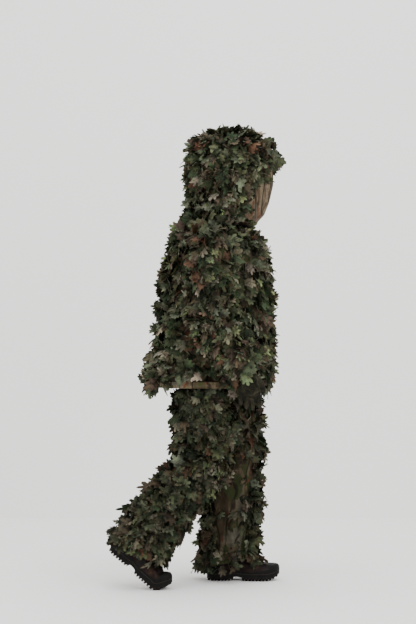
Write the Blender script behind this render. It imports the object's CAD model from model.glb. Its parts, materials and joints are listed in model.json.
"""Looks of the leaf ghillie suit: printed cloth, cut cloth leaves, a face veil, gloves and boots.

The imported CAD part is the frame. Cloth is rebuilt over its panels, and leaves are sewn onto their outsides.
"""

import json
import math

import bmesh
import bpy
import numpy as np
from mathutils import Matrix, Vector, noise
from mathutils.kdtree import KDTree
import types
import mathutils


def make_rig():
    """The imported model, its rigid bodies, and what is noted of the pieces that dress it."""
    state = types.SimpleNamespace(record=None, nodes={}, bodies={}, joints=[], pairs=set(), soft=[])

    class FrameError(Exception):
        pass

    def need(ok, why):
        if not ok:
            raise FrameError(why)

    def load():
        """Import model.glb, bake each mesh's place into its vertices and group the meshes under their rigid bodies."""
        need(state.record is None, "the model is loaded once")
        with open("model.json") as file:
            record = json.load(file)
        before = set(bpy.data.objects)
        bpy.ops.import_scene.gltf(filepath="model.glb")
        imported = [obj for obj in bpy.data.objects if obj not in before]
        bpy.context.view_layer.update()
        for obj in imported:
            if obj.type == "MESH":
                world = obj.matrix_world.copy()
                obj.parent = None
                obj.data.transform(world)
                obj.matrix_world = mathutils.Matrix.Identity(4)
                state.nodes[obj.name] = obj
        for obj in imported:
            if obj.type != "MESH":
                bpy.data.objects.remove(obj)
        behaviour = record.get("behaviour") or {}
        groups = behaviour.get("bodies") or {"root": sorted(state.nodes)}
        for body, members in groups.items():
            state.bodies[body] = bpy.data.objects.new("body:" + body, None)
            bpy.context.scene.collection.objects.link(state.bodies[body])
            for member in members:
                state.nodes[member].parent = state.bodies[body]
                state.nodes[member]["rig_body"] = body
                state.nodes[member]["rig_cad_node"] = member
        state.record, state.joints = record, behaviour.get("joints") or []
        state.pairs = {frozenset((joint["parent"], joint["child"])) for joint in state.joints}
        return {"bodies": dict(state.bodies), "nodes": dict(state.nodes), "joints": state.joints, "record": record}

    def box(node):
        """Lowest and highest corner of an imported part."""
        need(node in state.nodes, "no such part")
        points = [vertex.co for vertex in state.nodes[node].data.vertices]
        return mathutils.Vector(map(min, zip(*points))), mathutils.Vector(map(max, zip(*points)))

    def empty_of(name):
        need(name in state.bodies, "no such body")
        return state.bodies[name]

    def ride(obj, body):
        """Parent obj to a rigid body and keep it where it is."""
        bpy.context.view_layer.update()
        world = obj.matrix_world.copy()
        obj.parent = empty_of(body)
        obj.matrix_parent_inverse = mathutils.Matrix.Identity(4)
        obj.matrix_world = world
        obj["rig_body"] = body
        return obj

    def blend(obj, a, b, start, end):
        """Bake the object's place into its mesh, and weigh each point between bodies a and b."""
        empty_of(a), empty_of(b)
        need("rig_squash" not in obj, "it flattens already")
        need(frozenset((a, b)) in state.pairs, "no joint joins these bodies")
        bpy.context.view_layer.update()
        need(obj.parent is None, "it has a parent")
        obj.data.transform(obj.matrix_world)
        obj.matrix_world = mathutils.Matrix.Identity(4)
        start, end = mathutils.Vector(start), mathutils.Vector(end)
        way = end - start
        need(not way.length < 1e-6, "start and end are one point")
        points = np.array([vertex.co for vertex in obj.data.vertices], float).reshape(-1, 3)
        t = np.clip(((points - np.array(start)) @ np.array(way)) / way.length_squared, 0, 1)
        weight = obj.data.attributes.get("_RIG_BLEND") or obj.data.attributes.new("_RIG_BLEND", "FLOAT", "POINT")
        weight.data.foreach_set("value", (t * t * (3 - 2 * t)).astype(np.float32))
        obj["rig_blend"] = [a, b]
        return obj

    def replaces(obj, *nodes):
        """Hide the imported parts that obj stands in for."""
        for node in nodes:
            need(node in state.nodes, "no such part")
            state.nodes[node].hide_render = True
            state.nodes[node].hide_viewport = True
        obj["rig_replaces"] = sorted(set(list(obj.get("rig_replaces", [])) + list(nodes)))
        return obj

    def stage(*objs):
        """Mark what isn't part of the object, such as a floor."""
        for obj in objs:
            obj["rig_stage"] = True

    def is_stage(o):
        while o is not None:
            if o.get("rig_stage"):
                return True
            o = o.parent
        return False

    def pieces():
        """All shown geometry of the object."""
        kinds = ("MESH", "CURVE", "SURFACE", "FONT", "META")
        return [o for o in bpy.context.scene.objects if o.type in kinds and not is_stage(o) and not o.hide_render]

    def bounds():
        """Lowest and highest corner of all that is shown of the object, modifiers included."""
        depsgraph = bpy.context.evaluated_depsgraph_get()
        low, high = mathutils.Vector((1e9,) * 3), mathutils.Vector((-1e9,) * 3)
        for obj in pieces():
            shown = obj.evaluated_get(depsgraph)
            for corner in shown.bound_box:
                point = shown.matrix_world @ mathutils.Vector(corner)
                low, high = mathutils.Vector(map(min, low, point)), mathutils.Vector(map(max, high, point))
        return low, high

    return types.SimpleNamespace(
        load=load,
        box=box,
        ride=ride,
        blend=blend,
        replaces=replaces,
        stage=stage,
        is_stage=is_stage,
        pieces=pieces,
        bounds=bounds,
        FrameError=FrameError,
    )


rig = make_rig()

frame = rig.load()
CAD_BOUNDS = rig.bounds()
JOINTS = {joint["name"]: joint for joint in frame["record"]["behaviour"]["joints"]}
HIP_X = JOINTS["waist_bend"]["pos_m"][0]  # the line of the hips, which the camera looks at
JACKET_PANELS = ("jacket_back", "jacket_front_left", "jacket_front_right")

# Leaves
LEAF_LENGTH = (0.044, 0.068)
LEAF_RISE = (0.10, 1.25)  # how far a leaf stands off its cloth, in radians
LEAF_VARIANTS = 18
LEAVES_PER_M2 = 3100
LEAF_MARGIN = 0.022  # how far leaf tips may stand outside the CAD model's box
LEG_SHADE = 0.66  # the trousers' leaves are darker than the jacket's
LEAF_TINTS = (  # in daylight, with how common each is
    ((0.030, 0.043, 0.022), 0.27),  # dark green
    ((0.060, 0.067, 0.038), 0.25),  # olive
    ((0.100, 0.112, 0.074), 0.18),  # grey green
    ((0.068, 0.053, 0.037), 0.14),  # brown
    ((0.098, 0.052, 0.032), 0.02),  # rust
    ((0.195, 0.175, 0.128), 0.07),  # tan
    ((0.120, 0.145, 0.072), 0.07),  # light green
)
RUST = 4  # the place of rust in the tints

# Cloth
SLEEVE_SPLIT = 0.165  # from the shoulder down to where a sleeve's two cloths meet
THIGH_SPLIT = 0.23  # from the hip down to where a trouser leg's two cloths meet
ELBOW_REACH = 0.055  # cloth and leaves bend within this distance of the elbow
KNEE_REACH = 0.075
HEM_DROP = 0.026  # how far the middle of a trouser hem hangs below the ankle
HEM_SLOPE = 0.34  # how much the trouser hem rises towards the front
VEIL_WRAP = 66.0  # half angle that the veil wraps round the face, in degrees

# Boots, flat: sizes from the ankle, and how far the toe springs up
ANKLE_HEIGHT = 0.104
FLEX_FORWARD = 0.162
FLEX_HEIGHT = 0.020
HEEL_BACK = 0.080
BOOT_LENGTH = 0.300
TOE_SPRING = 0.014
TONGUE = ((0.118, 0.083), (0.094, 0.096), (0.074, 0.116), (0.062, 0.150), (0.059, 0.200))
UPPER = (  # height, back, front, how far the slice has turned from a footprint into an ellipse, width
    (0.028, -0.0785, 0.2180, 0.0, 1.0),
    (0.036, -0.0790, 0.2190, 0.0, 1.02),
    (0.046, -0.0785, 0.2175, 0.0, 1.0),
    (0.056, -0.0775, 0.2110, 0.05, 0.96),
    (0.064, -0.0765, 0.1940, 0.10, 0.90),
    (0.070, -0.0755, 0.1620, 0.20, 0.84),
    (0.078, -0.0740, 0.1300, 0.35, 0.80),
    (0.090, -0.0710, 0.1000, 0.60, 0.80),
    (0.105, -0.0660, 0.0780, 0.85, 0.86),
    (0.130, -0.0590, 0.0620, 1.0, 0.94),
    (0.160, -0.0560, 0.0560, 1.0, 1.0),
    (0.188, -0.0550, 0.0530, 1.0, 1.04),
)

# Studio
FLOOR_HALF = 12.0
WALL_PLACE, WALL_HALF, WALL_HEIGHT = 2.15, 8.0, 6.0
CAMERA_DISTANCE, CAMERA_HEIGHT, CAMERA_LENS = 6.7, 1.105, 95.0
WORLD_STRENGTH = 1.27


# Small helpers


def joint_at(name):
    return Vector(JOINTS[name]["pos_m"])


class Limbs:
    """The pivots of one side's limbs, and where its sleeve and trouser leg are split."""

    def __init__(self, side, sign):
        self.side, self.sign = side, sign
        self.shoulder = joint_at(f"shoulder_{side}_swing")
        self.elbow = joint_at(f"elbow_{side}_bend")
        self.wrist = joint_at(f"wrist_{side}_bend")
        self.knuckles = joint_at(f"fingers_{side}_curl")
        self.hip = joint_at(f"hip_{side}_swing")
        self.knee = joint_at(f"knee_{side}_bend")
        self.ankle = joint_at(f"ankle_{side}_bend")
        self.toes = joint_at(f"toes_{side}_bend")
        top = Vector((self.shoulder.x, self.elbow.y, self.shoulder.z))
        self.out = abs(self.elbow.y) - abs(self.shoulder.y)
        self.drop = (self.elbow - top).normalized()
        self.sleeve_top = top + self.drop * self.out
        self.sleeve_split = top + self.drop * SLEEVE_SPLIT
        self.thigh = (self.knee - self.hip).normalized()
        self.thigh_split = self.hip + self.thigh * THIGH_SPLIT

    def blend_shoulder(self, obj):
        start = self.shoulder + Vector((0.0, self.sign * 0.004, 0.0))
        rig.blend(obj, "jacket", f"upper_arm_{self.side}", start, self.sleeve_top)

    def blend_elbow(self, obj):
        self.blend_bend(obj, "upper_arm", "forearm", (self.sleeve_split, self.elbow, self.wrist), ELBOW_REACH)

    def blend_hip(self, obj):
        start, end = self.hip - self.thigh * 0.01, self.hip + self.thigh * 0.12
        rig.blend(obj, "trousers_seat", f"thigh_{self.side}", start, end)

    def blend_knee(self, obj):
        self.blend_bend(obj, "thigh", "shank", (self.hip, self.knee, self.ankle), KNEE_REACH)

    def blend_bend(self, obj, upper, lower, line, reach):
        """Bends a piece about the middle point of a line, within reach of it."""
        top, joint, bottom = line
        along = ((joint - top).normalized() + (bottom - joint).normalized()).normalized() * reach
        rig.blend(obj, f"{upper}_{self.side}", f"{lower}_{self.side}", joint - along, joint + along)


def evenly(start, end, count):
    """Equal steps from start to end."""
    return [start + (end - start) * i / (count - 1) for i in range(count)]


def round_angles(count):
    """Equal steps round a full turn."""
    return [2 * math.pi * k / count for k in range(count)]


def fade(value, start, end):
    """0 before start, 1 after end."""
    t = min(max((value - start) / (end - start), 0.0), 1.0)
    return t * t * (3 - 2 * t)


def lerp_table(table, at):
    """Linear interpolation in rows of a key and values."""
    keys, *columns = zip(*table)
    return tuple(float(np.interp(at, keys, column)) for column in columns)


def limb_frame(top, bottom, across=(0.0, 1.0, 0.0)):
    """A frame at the top of a limb whose Z runs up the limb and whose Y is near a given direction."""
    up = (top - bottom).normalized()
    side = Vector(across)
    side = (side - up * side.dot(up)).normalized()
    rotation = Matrix((side.cross(up), side, up)).transposed().to_4x4()
    return Matrix.Translation(top) @ rotation


def ring_point(angle, half_depth, half_width, power=2.1):
    """A point on a section that is a little squarer than an ellipse."""
    c, s = math.cos(angle), math.sin(angle)
    x = math.copysign(abs(c) ** (2 / power), c) * half_depth
    y = math.copysign(abs(s) ** (2 / power), s) * half_width
    return x, y


def wave(point, scale, seed, stretch=(1.0, 1.0, 1.0)):
    """Smooth noise between about -1 and 1."""
    p = Vector((point[0] * stretch[0], point[1] * stretch[1], point[2] * stretch[2])) * scale
    return noise.fractal(p + Vector((seed * 7.3, seed * 3.1, seed * 5.7)), 0.8, 2.1, 3)


def heading(path, i):
    """The direction of a path at one of its points."""
    return path[min(i + 1, len(path) - 1)] - path[max(i - 1, 0)]


def curve_points(points, count):
    """A smooth curve through points."""
    points = [Vector(p) for p in points]
    ends = [points[0] * 2 - points[1]] + points + [points[-1] * 2 - points[-2]]
    made = []
    for i in range(count):
        t = i / (count - 1) * (len(points) - 1)
        k = min(int(t), len(points) - 2)
        u = t - k
        a, b, c, d = ends[k : k + 4]
        bent = (a * 2 - b * 5 + c * 4 - d) * u**2 + (b * 3 - a - c * 3 + d) * u**3
        made.append(0.5 * (b * 2 + (c - a) * u + bent))
    return made


def corners_of(*nodes):
    """All corners of CAD nodes, as rows of an array."""
    return np.array([v.co[:] for node in nodes for v in frame["nodes"][node].data.vertices])


def new_object(name, mesh, material):
    mesh.materials.append(MATERIAL[material])
    obj = bpy.data.objects.new(name, mesh)
    bpy.context.scene.collection.objects.link(obj)
    return obj


def mesh_from(name, verts, faces, smooth=True):
    mesh = bpy.data.meshes.new(name)
    mesh.from_pydata([tuple(v) for v in verts], [], faces)
    mesh.update()
    if smooth:
        mesh.shade_smooth()
    return mesh


def apply_modifiers(obj):
    """Gives an object the mesh that its modifiers make."""
    evaluated = obj.evaluated_get(bpy.context.evaluated_depsgraph_get())
    made = bpy.data.meshes.new_from_object(evaluated)
    obj.modifiers.clear()
    obj.data = made
    return made


def grid_faces(rows, columns, closed):
    faces = []
    for r in range(rows - 1):
        for c in range(columns if closed else columns - 1):
            d = (c + 1) % columns
            faces.append((r * columns + c, r * columns + d, (r + 1) * columns + d, (r + 1) * columns + c))
    return faces


def flat_list(rings):
    return [point for ring in rings for point in ring]


def sheet(name, rings, material, closed=True, thickness=0.0016):
    """Cloth with real thickness from a grid of points: the outer side, an inner side and their rims."""
    rows, columns = len(rings), len(rings[0])
    verts = flat_list(rings)
    faces = grid_faces(rows, columns, closed)
    probe = mesh_from(f"{name}_probe", verts, faces)
    normals = [v.normal.copy() for v in probe.vertices]
    bpy.data.meshes.remove(probe)
    middle = rings[rows // 2]
    from_centre = middle[columns // 2] - sum(middle, Vector()) / columns
    outward = normals[(rows // 2) * columns + columns // 2].dot(from_centre) > 0
    if not outward:
        faces = [tuple(reversed(face)) for face in faces]
    inward = -thickness if outward else thickness
    inner = [v + normal * inward for v, normal in zip(verts, normals)]
    count = len(verts)
    both = faces + [tuple(count + i for i in reversed(face)) for face in faces]
    edges = dict.fromkeys(edge for face in faces for edge in zip(face, face[1:] + face[:1]))
    both += [(b, a, count + a, count + b) for a, b in edges if (b, a) not in edges]
    return new_object(name, mesh_from(name, verts + inner, both), material)


def capped(rings):
    """Vertices and faces of a tube through rings, closed at both ends."""
    columns = len(rings[0])
    last = (len(rings) - 1) * columns
    faces = grid_faces(len(rings), columns, True)
    faces.append(tuple(range(columns))[::-1])
    faces.append(tuple(range(last, last + columns)))
    return flat_list(rings), faces


def tube(path, radius, sides=10):
    """A closed round cord along points. Radius is a number, or a list with one for each point."""
    rings = []
    for i, point in enumerate(path):
        turn = heading(path, i).to_track_quat("Z", "Y").to_matrix()
        size = radius[i] if isinstance(radius, list) else radius
        spokes = [Vector((math.cos(angle), math.sin(angle), 0.0)) for angle in round_angles(sides)]
        rings.append([point + turn @ spoke * size for spoke in spokes])
    return capped(rings)


def join_parts(name, parts, material, smooth=True):
    """One object from lists of (vertices, faces)."""
    verts, faces = [], []
    for part_verts, part_faces in parts:
        base = len(verts)
        verts += list(part_verts)
        faces += [tuple(base + i for i in face) for face in part_faces]
    return new_object(name, mesh_from(name, verts, faces, smooth), material)


# Materials


class Nodes:
    """Short calls for building a node material."""

    def __init__(self, name):
        self.material = bpy.data.materials.new(name)
        self.material.use_nodes = True
        self.tree = self.material.node_tree
        self.shader = self.tree.nodes["Principled BSDF"]

    def feed(self, node, inputs):
        """Links sockets to a node's inputs, and sets the inputs that are plain values."""
        for key, value in inputs.items():
            if isinstance(value, bpy.types.NodeSocket):
                self.tree.links.new(value, node.inputs[key])
            else:
                colour = node.inputs[key].type == "RGBA" and len(value) == 3
                node.inputs[key].default_value = (*value, 1.0) if colour else value

    def add(self, kind, inputs=None, **settings):
        node = self.tree.nodes.new(kind)
        for key, value in settings.items():
            setattr(node, key, value)
        self.feed(node, inputs or {})
        return node

    def position(self, scale=(1.0, 1.0, 1.0)):
        """The place on the suit at rest, stretched."""
        coordinate = self.add("ShaderNodeTexCoord")
        mapping = self.add("ShaderNodeMapping", {"Vector": coordinate.outputs["Object"], "Scale": scale})
        return mapping.outputs["Vector"]

    def noise(self, vector, scale, detail=3.0, roughness=0.55, distortion=0.0):
        names = ("Vector", "Scale", "Detail", "Roughness", "Distortion")
        inputs = dict(zip(names, (vector, scale, detail, roughness, distortion)))
        return self.add("ShaderNodeTexNoise", inputs).outputs["Fac"]

    def ramp(self, value, *stops):
        """Colours or grey levels at places along a value."""
        node = self.add("ShaderNodeValToRGB", {"Fac": value})
        ramp = node.color_ramp
        while len(ramp.elements) < len(stops):
            ramp.elements.new(0.5)
        for element, (place, colour) in zip(ramp.elements, stops):
            element.position = place
            element.color = (*colour, 1.0) if isinstance(colour, tuple) else (colour, colour, colour, 1.0)
        return node.outputs["Color"]

    def mix(self, factor, a, b, blend="MIX"):
        node = self.add("ShaderNodeMix", data_type="RGBA", blend_type=blend)
        self.feed(node, {0: factor, 6: a, 7: b})
        return node.outputs[2]

    def math(self, operation, a, b=0.0, clamp=False):
        return self.add("ShaderNodeMath", {0: a, 1: b}, operation=operation, use_clamp=clamp).outputs[0]

    def bump(self, height, strength, distance=0.001, under=None):
        inputs = {"Height": height, "Strength": strength, "Distance": distance}
        if under is not None:
            inputs["Normal"] = under
        return self.add("ShaderNodeBump", inputs).outputs["Normal"]

    def patches(self, under, over, vector, noise_inputs, edge, cover=1.0):
        """Patches of one colour over another, where noise rises past the two levels of an edge."""
        mask = self.ramp(self.noise(vector, *noise_inputs), (edge[0], 0.0), (edge[1], 1.0))
        return self.mix(self.math("MULTIPLY", mask, cover), under, over)

    def twigs(self, under, over, vector, inputs, width, cover):
        """Thin wandering lines of one colour over another."""
        lines = self.add("ShaderNodeTexWave", {"Vector": vector, "Detail": 3.0, **inputs})
        mask = self.ramp(lines.outputs["Fac"], (0.0, 1.0), (width, 0.0))
        return self.mix(self.math("MULTIPLY", mask, cover), under, over)

    def finish(self, colour, roughness, normal=None, gloss=0.10):
        inputs = {"Base Color": colour, "Roughness": roughness, "Specular IOR Level": gloss}
        if normal is not None:
            inputs["Normal"] = normal
        self.feed(self.shader, inputs)
        return self.material


def weave(nodes, scale, depth=0.35):
    """A fine plain weave as a bump."""
    inputs = {"Vector": nodes.position(), "Scale": scale, "Distortion": 0.4}
    warp, weft = (nodes.add("ShaderNodeTexWave", inputs, bands_direction=way).outputs["Fac"] for way in "XZ")
    return nodes.bump(nodes.math("MAXIMUM", warp, weft), depth, 0.0004)


def camo_cloth(name, bright, tall=0.55):
    """A woodland print: grounds of bark and litter, sharp leaf patches, dark twigs, and a plain weave."""
    nodes = Nodes(name)
    place = nodes.position((1.0, 1.0, tall))

    def shade(*colour):
        return tuple(c * bright for c in colour)

    colour = nodes.ramp(
        nodes.noise(place, 11.0, 4.0, 0.6, 0.8),
        (0.30, shade(0.030, 0.024, 0.014)),
        (0.44, shade(0.085, 0.062, 0.036)),
        (0.52, shade(0.150, 0.120, 0.076)),
        (0.62, shade(0.105, 0.100, 0.078)),
        (0.74, shade(0.190, 0.165, 0.120)),
    )
    colour = nodes.patches(colour, shade(0.052, 0.062, 0.024), place, (17.0, 2.0, 0.5, 1.6), (0.55, 0.57))
    colour = nodes.patches(colour, shade(0.120, 0.045, 0.024), place, (14.0, 3.0, 0.6, 2.2), (0.62, 0.64))
    twigs = {"Scale": 5.0, "Distortion": 14.0, "Detail Scale": 1.4}
    colour = nodes.twigs(colour, shade(0.014, 0.011, 0.007), place, twigs, 0.07, 0.85)
    worn = nodes.ramp(nodes.noise(place, 3.0), (0.3, 0.72), (0.7, 1.1))
    rough = nodes.ramp(nodes.noise(place, 40.0), (0.3, 0.80), (0.7, 0.95))
    return nodes.finish(nodes.mix(1.0, colour, worn, "MULTIPLY"), rough, weave(nodes, 420.0))


def veil_cloth():
    """A fine printed mesh: pale and dark bark in tall streaks, reddish patches and thin black branches."""
    nodes = Nodes("veil_cloth")
    tall = nodes.position((1.0, 1.0, 0.28))
    colour = nodes.ramp(
        nodes.noise(tall, 36.0, 5.0, 0.65, 0.6),
        (0.28, (0.010, 0.007, 0.004)),
        (0.42, (0.044, 0.030, 0.018)),
        (0.50, (0.100, 0.072, 0.044)),
        (0.57, (0.165, 0.128, 0.086)),
        (0.68, (0.066, 0.048, 0.032)),
    )
    colour = nodes.patches(colour, (0.085, 0.037, 0.021), tall, (21.0, 2.0, 0.5, 1.0), (0.56, 0.60), 0.7)
    colour = nodes.patches(colour, (0.090, 0.088, 0.066), tall, (15.0, 2.0, 0.5, 1.4), (0.60, 0.63), 0.6)
    twigs = {"Scale": 9.0, "Distortion": 9.0}
    colour = nodes.twigs(colour, (0.012, 0.010, 0.007), tall, twigs, 0.06, 0.9)
    return nodes.finish(colour, 0.85, weave(nodes, 300.0, 0.5))


def leaf_cloth():
    """Each leaf has its own tint. A print mottles it, and pale veins branch from its midrib."""
    nodes = Nodes("leaf_cloth")
    tint = nodes.add("ShaderNodeAttribute", attribute_name="tint").outputs["Color"]
    flat = nodes.add("ShaderNodeAttribute", attribute_name="on_leaf").outputs["Vector"]
    split = nodes.add("ShaderNodeSeparateXYZ", {"Vector": flat})
    along, across = split.outputs["X"], nodes.math("ABSOLUTE", split.outputs["Y"])
    rib = nodes.math("SUBTRACT", 1.0, nodes.math("MULTIPLY", across, 26.0), clamp=True)
    phase = nodes.math("MULTIPLY", nodes.math("SUBTRACT", along, nodes.math("MULTIPLY", across, 0.8)), 44.0)
    ray = nodes.math("SUBTRACT", nodes.math("SINE", phase), 0.86, clamp=True)
    ray = nodes.math("MULTIPLY", ray, 5.0, clamp=True)
    vein = nodes.math("MAXIMUM", rib, nodes.math("MULTIPLY", ray, 0.6))
    place = nodes.position()
    mottle = nodes.ramp(
        nodes.noise(place, 34.0, 3.0, 0.6, 1.2),
        (0.34, (0.26, 0.25, 0.22)),
        (0.47, (0.74, 0.74, 0.73)),
        (0.60, (1.05, 1.04, 1.00)),
        (0.74, (1.55, 1.45, 1.20)),
    )
    colour = nodes.mix(1.0, tint, mottle, "MULTIPLY")
    colour = nodes.patches(colour, (0.060, 0.042, 0.024), place, (23.0, 2.0, 0.5, 1.5), (0.58, 0.61), 0.55)
    pale = nodes.mix(1.0, colour, (1.7, 1.65, 1.5), "MULTIPLY")
    colour = nodes.mix(nodes.math("MULTIPLY", vein, 0.45), colour, pale)
    grain = nodes.bump(nodes.noise(place, 900.0, 2.0), 0.25, 0.0004)
    return nodes.finish(colour, 0.78, nodes.bump(vein, 0.35, 0.0006, grain))


def webbing(name, colour):
    """Ribbed tape or cord, worn in places."""
    nodes = Nodes(name)
    place = nodes.position()
    wear = nodes.ramp(nodes.noise(place, 60.0, 4.0), (0.3, 0.6), (0.7, (1.3, 1.3, 1.25)))
    ribs = nodes.add("ShaderNodeTexWave", {"Vector": place, "Scale": 330.0}, bands_direction="DIAGONAL")
    bump = nodes.bump(ribs.outputs["Fac"], 0.5, 0.0005)
    return nodes.finish(nodes.mix(1.0, colour, wear, "MULTIPLY"), 0.82, bump)


def glove_knit():
    """Dark knitted cloth in soft patches, with its stitches."""
    nodes = Nodes("glove_knit")
    colour = nodes.ramp(
        nodes.noise(nodes.position(), 30.0, 3.0, 0.6, 1.0),
        (0.36, (0.006, 0.006, 0.004)),
        (0.52, (0.016, 0.015, 0.009)),
        (0.66, (0.034, 0.031, 0.020)),
    )
    stitches = nodes.add("ShaderNodeTexVoronoi", {"Vector": nodes.position((1.0, 1.0, 0.6)), "Scale": 700.0})
    return nodes.finish(colour, 0.9, nodes.bump(stitches.outputs["Distance"], 0.5, 0.0005))


def leather():
    """Waxed brown leather: pores and creases, pale scuffs and dark wax."""
    nodes = Nodes("boot_leather")
    place = nodes.position()
    colour = nodes.ramp(
        nodes.noise(place, 26.0, 5.0, 0.62, 0.6),
        (0.30, (0.002, 0.001, 0.001)),
        (0.48, (0.007, 0.003, 0.002)),
        (0.60, (0.016, 0.007, 0.004)),
        (0.76, (0.036, 0.019, 0.012)),
    )
    pores = nodes.add("ShaderNodeTexVoronoi", {"Vector": place, "Scale": 520.0})
    crease = nodes.noise(nodes.position((1.0, 0.35, 1.0)), 60.0, 4.0, 0.6, 1.5)
    height = nodes.math("ADD", nodes.math("MULTIPLY", pores.outputs["Distance"], 0.4), crease)
    rough = nodes.ramp(nodes.noise(place, 34.0), (0.35, 0.42), (0.65, 0.72))
    return nodes.finish(colour, rough, nodes.bump(height, 0.45, 0.001), gloss=0.12)


def rubber(name, dark, dusty):
    """Moulded rubber with dust in its low places."""
    nodes = Nodes(name)
    place = nodes.position()
    dust = nodes.ramp(nodes.noise(place, 45.0, 5.0, 0.65, 0.4), (0.42, 0.0), (0.75, 1.0))
    rough = nodes.ramp(dust, (0.0, 0.55), (1.0, 0.85))
    bump = nodes.bump(nodes.noise(place, 700.0, 2.0), 0.3, 0.0004)
    return nodes.finish(nodes.mix(dust, dark, dusty), rough, bump)


def moulded_plastic(name, colour, roughness):
    """Plastic with handling marks and a fine grain."""
    nodes = Nodes(name)
    place = nodes.position()
    worn = nodes.ramp(nodes.noise(place, 120.0, 4.0), (0.4, 0.85), (0.7, 1.3))
    bump = nodes.bump(nodes.noise(place, 1200.0), 0.2, 0.0003)
    return nodes.finish(nodes.mix(1.0, colour, worn, "MULTIPLY"), roughness, bump)


def pale_paint():
    nodes = Nodes("pale_paint")
    speck = nodes.noise(nodes.position(), 3.0, 2.0)
    return nodes.finish(nodes.ramp(speck, (0.0, (0.940, 0.932, 0.922)), (1.0, (0.965, 0.957, 0.947))), 0.8)


def one_sided(source):
    """A copy of a material that can be looked through from behind."""
    material = source.copy()
    tree = material.node_tree
    behind = tree.nodes.new("ShaderNodeNewGeometry")
    clear = tree.nodes.new("ShaderNodeBsdfTransparent")
    mixed = tree.nodes.new("ShaderNodeMixShader")
    tree.links.new(behind.outputs["Backfacing"], mixed.inputs["Fac"])
    tree.links.new(tree.nodes["Principled BSDF"].outputs["BSDF"], mixed.inputs[1])
    tree.links.new(clear.outputs["BSDF"], mixed.inputs[2])
    tree.links.new(mixed.outputs["Shader"], tree.nodes["Material Output"].inputs["Surface"])
    return material


MATERIAL = {
    "camo": camo_cloth("camo_cloth", 0.55),
    "camo_pale": camo_cloth("camo_cloth_pale", 1.05),
    "camo_leg": camo_cloth("camo_cloth_leg", 0.55, 0.35),
    "veil": veil_cloth(),
    "leaf": leaf_cloth(),
    "webbing": webbing("webbing", (0.060, 0.052, 0.034)),
    "lace": webbing("boot_lace", (0.040, 0.030, 0.020)),
    "glove": glove_knit(),
    "leather": leather(),
    "rubber": rubber("boot_rubber", (0.003, 0.003, 0.003), (0.009, 0.008, 0.007)),
    "tread": rubber("boot_tread", (0.008, 0.005, 0.004), (0.022, 0.015, 0.011)),
    "welt": rubber("boot_welt", (0.018, 0.015, 0.012), (0.013, 0.010, 0.008)),
    "zip": moulded_plastic("zip_plastic", (0.030, 0.028, 0.020), 0.4),
    "snap": moulded_plastic("snap_plastic", (0.42, 0.40, 0.34), 0.35),
    "floor": pale_paint(),
}
MATERIAL["wall"] = one_sided(MATERIAL["floor"])


# Cloth


def refined_panel(node, material="camo", wrinkle=0.0022, seed=1.0):
    """A CAD panel as cloth: the same shell, made smooth and creased."""
    work = bmesh.new()
    work.from_mesh(frame["nodes"][node].data)
    bmesh.ops.remove_doubles(work, verts=work.verts, dist=0.00005)
    bmesh.ops.join_triangles(
        work, faces=work.faces, angle_face_threshold=0.6, angle_shape_threshold=0.7, cmp_seam=False
    )
    mesh = bpy.data.meshes.new(f"{node}_cloth")
    work.to_mesh(mesh)
    work.free()
    obj = new_object(f"{node}_cloth", mesh, material)
    obj.modifiers.new("round", "SUBSURF").levels = 2
    made = apply_modifiers(obj)
    for vert in made.vertices:
        p = vert.co
        lift = wave(p, 14.0, seed, (1.0, 1.0, 0.5)) * wrinkle
        lift += wave(p, 42.0, seed + 3, (1.0, 1.0, 0.7)) * wrinkle * 0.35
        axis = Vector((p.x - HIP_X, p.y, 0.0)).normalized()
        vert.co = p + axis * (lift - wrinkle)
    made.shade_smooth()
    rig.replaces(obj, node)
    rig.ride(obj, frame["nodes"][node]["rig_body"])


def limb_rings(frames, radii, columns, folds, seed):
    """Rings along a limb. Folds gives each ring the size and the pitch of its creases."""
    rings = []
    for place, radius, (size, pitch) in zip(frames, radii, folds):
        ring = []
        for angle in round_angles(columns):
            x, y = ring_point(angle, *radius)
            local = place @ Vector((x, y, 0.0))
            out = (local - place.translation).normalized()
            crease = noise.noise(Vector((x * 9, y * 9, (place.translation.z + seed) * pitch)))
            ring.append(local + out * (size * crease + wave(local, 16.0, seed, (1, 1, 0.6)) * 0.0018))
        rings.append(ring)
    return rings


def straight_frames(top, bottom, start, end, count):
    """Frames from start to end metres below the top of a limb."""
    base = limb_frame(top, bottom)
    return [base @ Matrix.Translation((0.0, 0.0, -down)) for down in evenly(start, end, count)]


def bend_path(points, step):
    """Frames at equal steps along a curve through points, each with its distance along the curve."""
    dense = curve_points(points, 160)
    lengths = [0.0]
    for a, b in zip(dense, dense[1:]):
        lengths.append(lengths[-1] + (b - a).length)
    total = lengths[-1]
    columns = list(zip(*dense))

    def at_length(want):
        return Vector([float(np.interp(want, lengths, column)) for column in columns])

    frames = []
    for want in evenly(0.0, total, int(total / step) + 1):
        place = limb_frame(at_length(max(want - 0.012, 0.0)), at_length(min(want + 0.012, total)))
        place.translation = at_length(want)
        frames.append((want, place))
    return frames, total


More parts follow.
